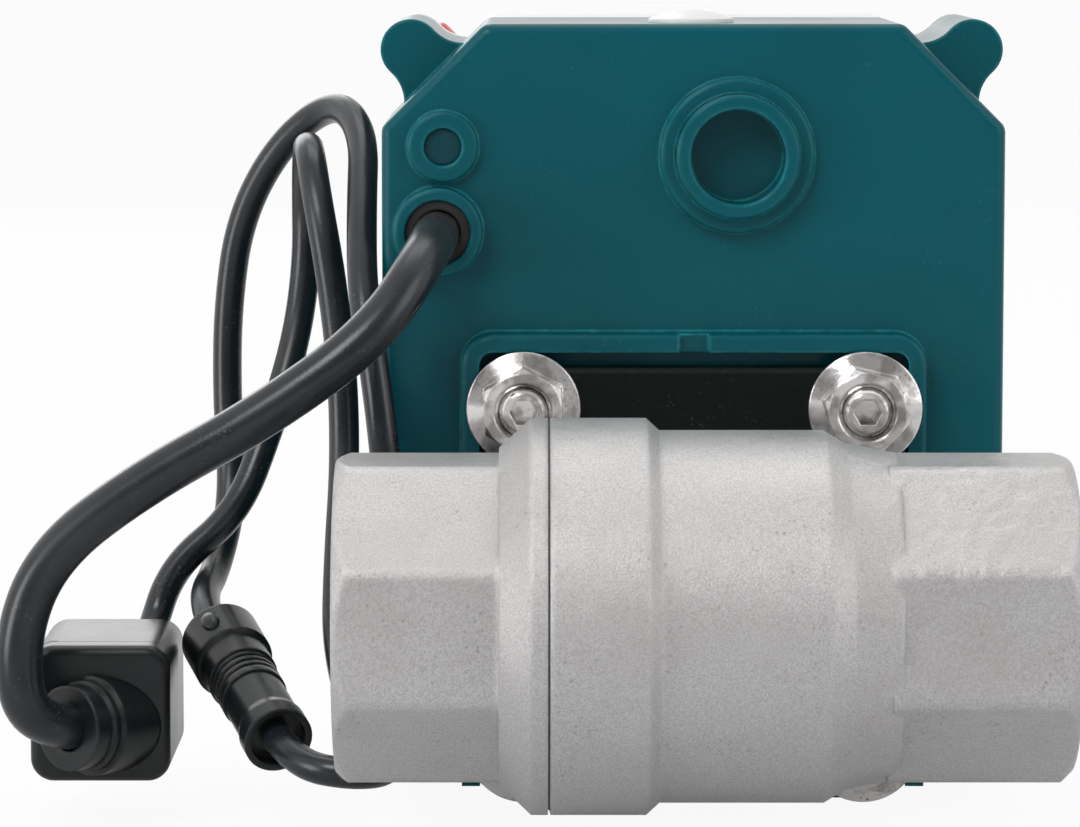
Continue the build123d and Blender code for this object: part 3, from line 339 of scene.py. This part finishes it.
class Finish:
    # One material: its Principled shader, and short ways to feed it.

    def __init__(self, name, metallic=0.0):
        self.material = bpy.data.materials.new(name)
        self.material.use_nodes = True
        self.tree = self.material.node_tree
        self.shader = self.tree.nodes["Principled BSDF"]
        self.shader.inputs["Metallic"].default_value = metallic
        self.normal = None

    def put(self, group, **values):
        # A shared effect with its settings.
        node = self.tree.nodes.new("ShaderNodeGroup")
        node.node_tree = group
        for label, value in values.items():
            node.inputs[label.replace("_", " ")].default_value = value
        return node.outputs

    def feed(self, label, value):
        # An output linked to one of the shader's inputs.
        self.tree.links.new(value, self.shader.inputs[label])

    def tint(self, base, steps):
        # The base colour, mixed towards each step's colour by its mask.
        colour = None
        for mask, shade in steps:
            mix = self.tree.nodes.new("ShaderNodeMix")
            mix.data_type = "RGBA"
            mix.inputs["A"].default_value = (*base, 1.0)
            mix.inputs["B"].default_value = (*shade, 1.0)
            if colour is not None:
                self.tree.links.new(colour, mix.inputs["A"])
            self.tree.links.new(mask, mix.inputs["Factor"])
            colour = mix.outputs["Result"]
        self.feed("Base Color", colour)

    def emboss(self, height, depth, strength=1.0):
        # Relief on top of what the surface has so far.
        bump = self.tree.nodes.new("ShaderNodeBump")
        bump.inputs["Strength"].default_value = strength
        bump.inputs["Distance"].default_value = depth
        self.tree.links.new(height, bump.inputs["Height"])
        if self.normal is not None:
            self.tree.links.new(self.normal, bump.inputs["Normal"])
        self.normal = bump.outputs["Normal"]
        self.feed("Normal", self.normal)

    def grain(self, size, patch_size, low, high):
        # The surface's fine grain, whose patches set how rough it is, from low to high.
        made = self.put(FINE_GRAIN, Grain_Size=size, Patch_Size=patch_size, Low=low, High=high)
        self.feed("Roughness", made["Roughness"])
        return made

    def soften(self, width, rub=1.0):
        # Rounded edges, and the mask of where they are rubbed.
        edges = self.put(SOFT_EDGES, Width=width, Rub=rub)
        self.normal = edges["Normal"]
        self.feed("Normal", self.normal)
        return edges["Mask"]

    def set(self, **values):
        # Constant values on the shader's own inputs.
        for label, value in values.items():
            self.shader.inputs[label.replace("_", " ")].default_value = value


def cast_steel():
    # Blasted stainless casting: even fine grain, small pits, faint stains, orange peel to the right.
    finish = Finish("cast_steel", 0.7)
    edges = finish.soften(0.0009, 0.6)
    tree = finish.tree
    grain = finish.grain(5200.0, 60.0, 0.40, 0.54)
    pits = finish.put(SPECKS, Size=1250.0, Amount=0.42)["Mask"]
    pinholes = finish.put(SPECKS, Size=2600.0, Amount=0.45)["Mask"]
    place = object_place(tree)
    right = remap(tree, across(tree, place, "X"), 0.046, 0.060, 0.25, 1.0)
    peel = arithmetic(tree, "MULTIPLY", noise(tree, place, 620.0, 2.0, 0.4), right)
    stains = remap(tree, noise(tree, place, 45.0, 6.0, 0.7), 0.48, 0.72, 0.0, 0.55)
    speckle = remap(tree, grain["Height"], 0.40, 0.62, 0.0, 0.8)
    finish.tint(
        (0.57, 0.56, 0.555),
        [
            (speckle, (0.40, 0.39, 0.385)),
            (stains, (0.42, 0.405, 0.395)),
            (pinholes, (0.20, 0.195, 0.19)),
            (pits, (0.15, 0.145, 0.14)),
            (edges, (0.70, 0.69, 0.685)),
        ],
    )
    finish.emboss(peel, 0.00030, 0.8)
    finish.emboss(grain["Height"], 0.00007, 0.7)
    holes = arithmetic(tree, "SUBTRACT", 1.0, arithmetic(tree, "ADD", pits, pinholes))
    finish.emboss(holes, 0.00008, 0.7)
    return finish.material


def polished_steel():
    # The ball, the stem and the shafts, turned and polished.
    finish = Finish("polished_steel", 1.0)
    edges = finish.soften(0.0002, 0.5)
    grain = finish.grain(2600.0, 220.0, 0.09, 0.2)
    finish.tint((0.66, 0.65, 0.63), [(edges, (0.86, 0.85, 0.83))])
    finish.emboss(grain["Height"], 0.00001, 0.25)
    return finish.material


def nut_steel():
    # Bright fasteners with handling marks, and random dark patches that paint dark reflections.
    finish = Finish("nut_steel", 1.0)
    edges = finish.soften(0.0003, 0.8)
    grain = finish.grain(1700.0, 420.0, 0.08, 0.24)
    marks = finish.put(SPECKS, Size=1400.0, Amount=0.8)["Mask"]
    # Random dark patches: painted dark reflections on the bright metal.
    dark_reflection_patches = remap(finish.tree, grain["Patches"], 0.46, 0.62, 0.0, 0.65)
    finish.tint(
        (0.80, 0.775, 0.765),
        [(dark_reflection_patches, (0.24, 0.225, 0.215)), (marks, (0.08, 0.07, 0.068)), (edges, (0.92, 0.90, 0.89))],
    )
    finish.emboss(grain["Height"], 0.00003, 0.35)
    return finish.material


def black_plate():
    # Black coated steel with a little dust.
    finish = Finish("black_plate")
    edges = finish.soften(0.0003, 0.5)
    grain = finish.grain(3200.0, 120.0, 0.22, 0.4)
    dust = finish.put(SPECKS, Size=1900.0, Amount=0.35)["Mask"]
    finish.tint((0.004, 0.007, 0.0065), [(edges, (0.05, 0.052, 0.05)), (dust, (0.12, 0.12, 0.11))])
    finish.set(Specular_IOR_Level=0.15)
    finish.emboss(grain["Height"], 0.00003, 0.3)
    return finish.material


DUST_GAIN = 1.6
DUST_LIFT = 0.05


def moulded_plastic(name, colour, deep, edge_highlight_and_wear, low, high, coat=0.0, grain_size=3800.0):
    # A moulded plastic: slow flow patches, a fine satin grain and paler soft edges, which paint
    # highlights along the edges together with rubbed wear.
    finish = Finish(name)
    edges = finish.soften(0.0005, 0.9)
    grain = finish.grain(grain_size, 42.0, low, high)
    flow = remap(finish.tree, grain["Patches"], 0.35, 0.68, 0.0, 1.0)
    dust = finish.put(SPECKS, Size=1300.0, Amount=0.22)["Mask"]
    pale = tuple(min(1.0, channel * DUST_GAIN + DUST_LIFT) for channel in colour)
    finish.tint(colour, [(flow, deep), (edges, edge_highlight_and_wear), (dust, pale)])
    finish.set(Coat_Weight=coat, Coat_Roughness=0.16)
    finish.emboss(grain["Height"], 0.00003, 0.22)
    return finish


def teal_plastic():
    # The pale edge colour paints the bright highlights along the teal's rounded edges.
    colour, deep, edge_highlight_and_wear = (0.0012, 0.080, 0.100), (0.001, 0.068, 0.086), (0.03, 0.34, 0.38)
    finish = moulded_plastic("teal_plastic", colour, deep, edge_highlight_and_wear, 0.17, 0.27)
    finish.set(Specular_IOR_Level=0.18)
    return finish.material


def painted_shade_teal():
    # The vent's plug, in a darker teal that paints the shade at the bottom of its bore.
    colour, deep, edge_highlight_and_wear = (0.001, 0.048, 0.060), (0.001, 0.038, 0.050), (0.01, 0.12, 0.14)
    finish = moulded_plastic("painted_shade_teal", colour, deep, edge_highlight_and_wear, 0.4, 0.5)
    finish.set(Specular_IOR_Level=0.2)
    return finish.material


def white_plastic():
    colour, deep, edge_highlight_and_wear = (0.74, 0.74, 0.72), (0.70, 0.70, 0.675), (0.80, 0.80, 0.78)
    return moulded_plastic("white_plastic", colour, deep, edge_highlight_and_wear, 0.28, 0.40, 0.2).material


def red_plastic():
    colour, deep, edge_highlight_and_wear = (0.62, 0.022, 0.020), (0.50, 0.015, 0.015), (0.80, 0.12, 0.10)
    return moulded_plastic("red_plastic", colour, deep, edge_highlight_and_wear, 0.25, 0.40, 0.2).material


def gear_plastic():
    colour, deep, edge_highlight_and_wear = (0.70, 0.66, 0.52), (0.63, 0.58, 0.45), (0.80, 0.77, 0.66)
    return moulded_plastic("gear_plastic", colour, deep, edge_highlight_and_wear, 0.30, 0.42).material


def seat_plastic():
    colour, deep, edge_highlight_and_wear = (0.78, 0.77, 0.73), (0.72, 0.71, 0.67), (0.84, 0.83, 0.80)
    return moulded_plastic("seat_plastic", colour, deep, edge_highlight_and_wear, 0.35, 0.50).material


def board_green():
    colour, deep, edge_highlight_and_wear = (0.012, 0.12, 0.035), (0.008, 0.090, 0.025), (0.25, 0.30, 0.16)
    return moulded_plastic("board_green", colour, deep, edge_highlight_and_wear, 0.25, 0.40, 0.4).material


def black_plastic():
    colour, deep, edge_highlight_and_wear = (0.006, 0.008, 0.009), (0.010, 0.011, 0.012), (0.05, 0.052, 0.055)
    finish = moulded_plastic("black_plastic", colour, deep, edge_highlight_and_wear, 0.24, 0.38, grain_size=2400.0)
    finish.set(Specular_IOR_Level=0.4)
    return finish.material


def rubber():
    colour, deep, edge_highlight_and_wear = (0.016, 0.016, 0.017), (0.011, 0.011, 0.012), (0.05, 0.05, 0.05)
    return moulded_plastic("rubber", colour, deep, edge_highlight_and_wear, 0.5, 0.7).material


def cable_jacket():
    # Soft dark jacket with a satin bloom and dust.
    finish = Finish("cable_jacket")
    grain = finish.grain(2600.0, 110.0, 0.22, 0.34)
    bloom = remap(finish.tree, grain["Patches"], 0.4, 0.7, 0.0, 1.0)
    dust = finish.put(SPECKS, Size=1500.0, Amount=0.5)["Mask"]
    finish.tint((0.009, 0.012, 0.016), [(bloom, (0.016, 0.019, 0.022)), (dust, (0.12, 0.12, 0.12))])
    finish.set(Sheen_Weight=0.05, Sheen_Roughness=0.4, Specular_IOR_Level=0.5)
    finish.emboss(grain["Height"], 0.00004, 0.3)
    return finish.material


def brass():
    # The gland nut and the motor's pinion, turned and dull.
    finish = Finish("brass", 1.0)
    edges = finish.soften(0.0002, 0.6)
    grain = finish.grain(2600.0, 200.0, 0.16, 0.32)
    finish.tint((0.68, 0.47, 0.19), [(edges, (0.88, 0.68, 0.36))])
    finish.emboss(grain["Height"], 0.00002, 0.3)
    return finish.material


def clear_plastic():
    # The window over the dial.
    finish = Finish("clear_plastic")
    finish.set(Base_Color=(0.93, 0.96, 0.97, 1.0), Transmission_Weight=1.0, IOR=1.47)
    grain = finish.grain(900.0, 120.0, 0.03, 0.09)
    finish.emboss(grain["Height"], 0.00001, 0.1)
    return finish.material


def dress_nodes():
    # Every CAD node takes the finish of its material slot in the record.
    finishes = {
        "cast_steel": cast_steel(),
        "polished_steel": polished_steel(),
        "plated_steel": nut_steel(),
        "black_plate": black_plate(),
        "seat": seat_plastic(),
        "seal": rubber(),
        "brass": brass(),
        "teal_plastic": teal_plastic(),
        "white_plastic": white_plastic(),
        "red_plastic": red_plastic(),
        "clear_plastic": clear_plastic(),
        "gear_plastic": gear_plastic(),
        "board": board_green(),
        "cable_jacket": cable_jacket(),
        "black_plastic": black_plastic(),
    }
    for entry in record["subparts"]:
        for material_slot in nodes[entry["node"]].material_slots:
            material_slot.material = finishes[entry["material_slot"]]
    # The vent's plug takes the darker teal, which paints the shade in its bore.
    for material_slot in nodes["vent_plug"].material_slots:
        material_slot.material = painted_shade_teal()
    return finishes


# Pieces that only the dressed model has

THREAD_PITCH = 0.00181
THREAD_HIGH = 0.00055
THREAD_SUNK = 0.0001
THREAD_START = 0.0006
THREAD_SHORT = 0.0004
SPARE_TURNS = 1.2
RIDGE_SHARE = 0.46
CREST_SHARE = 0.16
TURN_STEPS = 64
FADE_STEPS = 32


def port_thread(name, mount, finish):
    # The ridge of a pipe thread, wound along the wall of a port, fading out at both ends.
    port_end = mount["pos_m"][0]
    way = -mount["axis"][0]
    port_radius = mount["dims"]["r_mm"] / 1000
    depth = mount["dims"]["length_mm"] / 1000 - THREAD_SHORT
    count = int((depth / THREAD_PITCH - SPARE_TURNS) * TURN_STEPS)
    half = THREAD_PITCH * RIDGE_SHARE
    flat = half * CREST_SHARE
    points = []
    for step in range(count + 1):
        angle = 2 * math.pi * step / TURN_STEPS
        along = THREAD_START + THREAD_PITCH * step / TURN_STEPS + half
        crest = THREAD_HIGH * min(1.0, step / FADE_STEPS, (count - step) / FADE_STEPS)
        for shift, high in ((-half, -THREAD_SUNK), (-flat, crest), (flat, crest), (half, -THREAD_SUNK)):
            radius = port_radius - high
            x = port_end + way * (along + shift)
            points.append((x, radius * math.cos(angle), radius * math.sin(angle)))
    faces = []
    for step in range(count):
        for edge in range(4):
            first = 4 * step + edge
            second = 4 * step + (edge + 1) % 4
            faces.append((first, second, second + 4, first + 4))
    faces.append((0, 3, 2, 1))
    faces.append(tuple(4 * count + corner for corner in range(4)))
    if way > 0:
        faces = [tuple(reversed(face)) for face in faces]
    mesh = bpy.data.meshes.new(name)
    mesh.from_pydata(points, [], faces)
    mesh.update()
    return add_piece(name, mesh, finish)


def cut_threads(finish):
    # One thread in each port, at the size that the record's mount gives.
    mounts = {mount["name"]: mount for mount in record["mounts"]}
    port_thread("left_thread", mounts["inlet_port"], finish)
    port_thread("right_thread", mounts["outlet_port"], finish)


JACK_RADIUS = 0.0042
TAB_ALONG = 0.0040
TAB_SIZE = (0.0016, 0.0010, 0.0006)


def jack_tab(finish):
    # The small raised tab on the jack's upper side that shows where the plug's key goes.
    start = Vector(SUPPLY_ROUTE[0])
    way = (start - Vector(SUPPLY_ROUTE[1])).normalized()
    out = Vector(CAMERA_PLACE) - start
    out = (out - way * out.dot(way)).normalized()
    turn = Matrix((way, out.cross(way), out)).transposed().to_4x4()
    middle = Matrix.Translation(start + way * TAB_ALONG + out * JACK_RADIUS)
    place = middle @ turn @ Matrix.Diagonal((*TAB_SIZE, 1.0))
    form = bmesh.new()
    bmesh.ops.create_uvsphere(form, u_segments=24, v_segments=16, radius=1.0, matrix=place)
    mesh = bpy.data.meshes.new("jack_tab")
    form.to_mesh(mesh)
    form.free()
    return add_piece("jack_tab", mesh, finish)


# Studio

FLOOR_HALF = 6.0
FLOOR_BELOW = 0.002
FLOOR_WHITE = (0.86, 0.86, 0.86, 1.0)
FLOOR_MIRRORED = (0.62, 0.62, 0.62, 1.0)
FLOOR_ROUGHNESS = 0.9
FLOOR_GLOW = 0.93
FRONT_END = 0.0
BACK_START = 0.12
WORLD_WHITE = (0.97, 0.98, 1.0, 1.0)
WORLD_AMBIENT = 0.55
WORLD_MIRRORED = 0.2
LAMP_AIM = (0.03, 0.02, 0.01)
LAMPS = [
    ("key_lamp", (-0.30, -0.60, 0.60), (0.4, 0.3), 3.1),
    ("side_lamp", (-0.70, -0.35, 0.05), (0.3, 0.5), 2.4),
    ("fill_lamp", (0.75, -0.45, 0.30), (0.4, 0.6), 1.4),
    ("top_lamp", (0.05, 0.25, 0.80), (0.6, 0.4), 1.1),
    ("back_lamp", (-0.25, 0.85, 0.40), (0.5, 0.5), 1.5),
]


def mix_shaders(tree, share, first, second, end):
    # Two shaders, mixed by a share, on the way to the output.
    mix = tree.nodes.new("ShaderNodeMixShader")
    for socket, value in zip(mix.inputs, (share, first, second)):
        tree.links.new(value, socket)
    tree.links.new(mix.outputs[0], end.inputs["Surface"])


def dress_floor():
    # White to the camera, with the shadow kept; in reflections it is darker on the camera's side.
    material = bpy.data.materials.new("studio_floor")
    material.use_nodes = True
    tree = material.node_tree
    matt = tree.nodes["Principled BSDF"]
    matt.inputs["Roughness"].default_value = FLOOR_ROUGHNESS
    white = tree.nodes.new("ShaderNodeEmission")
    rays = tree.nodes.new("ShaderNodeLightPath").outputs
    position = tree.nodes.new("ShaderNodeNewGeometry").outputs["Position"]
    back = remap(tree, across(tree, position, "Y"), FRONT_END, BACK_START, 0.0, 1.0)
    front = arithmetic(tree, "SUBTRACT", 1.0, back)
    shade = tree.nodes.new("ShaderNodeMix")
    shade.data_type = "RGBA"
    shade.inputs["A"].default_value = FLOOR_WHITE
    shade.inputs["B"].default_value = FLOOR_MIRRORED
    dark = arithmetic(tree, "MULTIPLY", rays["Is Glossy Ray"], front)
    tree.links.new(dark, shade.inputs["Factor"])
    tree.links.new(shade.outputs["Result"], matt.inputs["Base Color"])
    mirrored = arithmetic(tree, "MULTIPLY", rays["Is Glossy Ray"], back)
    seen = largest(tree, rays["Is Camera Ray"], mirrored, rays["Is Transmission Ray"])
    share = arithmetic(tree, "MULTIPLY", seen, FLOOR_GLOW)
    mix_shaders(tree, share, matt.outputs[0], white.outputs[0], tree.nodes["Material Output"])
    return material


def make_floor():
    # A wide floor just under the object.
    height = cad_box[0].z - FLOOR_BELOW
    corners = [
        (-FLOOR_HALF, -FLOOR_HALF, height),
        (FLOOR_HALF, -FLOOR_HALF, height),
        (FLOOR_HALF, FLOOR_HALF, height),
        (-FLOOR_HALF, FLOOR_HALF, height),
    ]
    mesh = bpy.data.meshes.new("studio_floor")
    mesh.from_pydata(corners, [], [(0, 1, 2, 3)])
    mesh.materials.append(dress_floor())
    floor = bpy.data.objects.new("studio_floor", mesh)
    bpy.context.scene.collection.objects.link(floor)


def light_world():
    # White all round, but darker on the camera's side in what the surfaces reflect.
    world = bpy.data.worlds.new("studio")
    bpy.context.scene.world = world
    world.use_nodes = True
    tree = world.node_tree
    around = tree.nodes["Background"]
    around.inputs["Color"].default_value = WORLD_WHITE
    around.inputs["Strength"].default_value = WORLD_AMBIENT
    seen = tree.nodes.new("ShaderNodeBackground")
    seen.inputs["Color"].default_value = (1.0, 1.0, 1.0, 1.0)
    rays = tree.nodes.new("ShaderNodeLightPath").outputs
    way = tree.nodes.new("ShaderNodeTexCoord").outputs["Generated"]
    shade = remap(tree, across(tree, way, "Y"), -0.95, -0.15, WORLD_MIRRORED, 1.0)
    strength = largest(tree, shade, rays["Is Camera Ray"], rays["Is Transmission Ray"])
    tree.links.new(strength, seen.inputs["Strength"])
    direct = largest(tree, rays["Is Camera Ray"], rays["Is Glossy Ray"], rays["Is Transmission Ray"])
    mix_shaders(tree, direct, around.outputs[0], seen.outputs[0], tree.nodes["World Output"])


def add_lamp(name, place, size, power):
    # A soft lamp that looks at the valve.
    data = bpy.data.lights.new(name, "AREA")
    data.shape = "RECTANGLE"
    data.size, data.size_y = size
    data.energy = power
    lamp = bpy.data.objects.new(name, data)
    lamp.location = place
    lamp.rotation_euler = (Vector(LAMP_AIM) - Vector(place)).to_track_quat("-Z", "Y").to_euler()
    bpy.context.scene.collection.objects.link(lamp)


def light_studio():
    # The world and the lamps, with plain colours.
    light_world()
    for lamp in LAMPS:
        add_lamp(*lamp)
    bpy.context.scene.view_settings.view_transform = "Standard"


place_camera()
finishes = dress_nodes()
lay_cables(finishes["cable_jacket"])
cut_threads(finishes["cast_steel"])
jack_tab(finishes["black_plastic"])
make_floor()
light_studio()
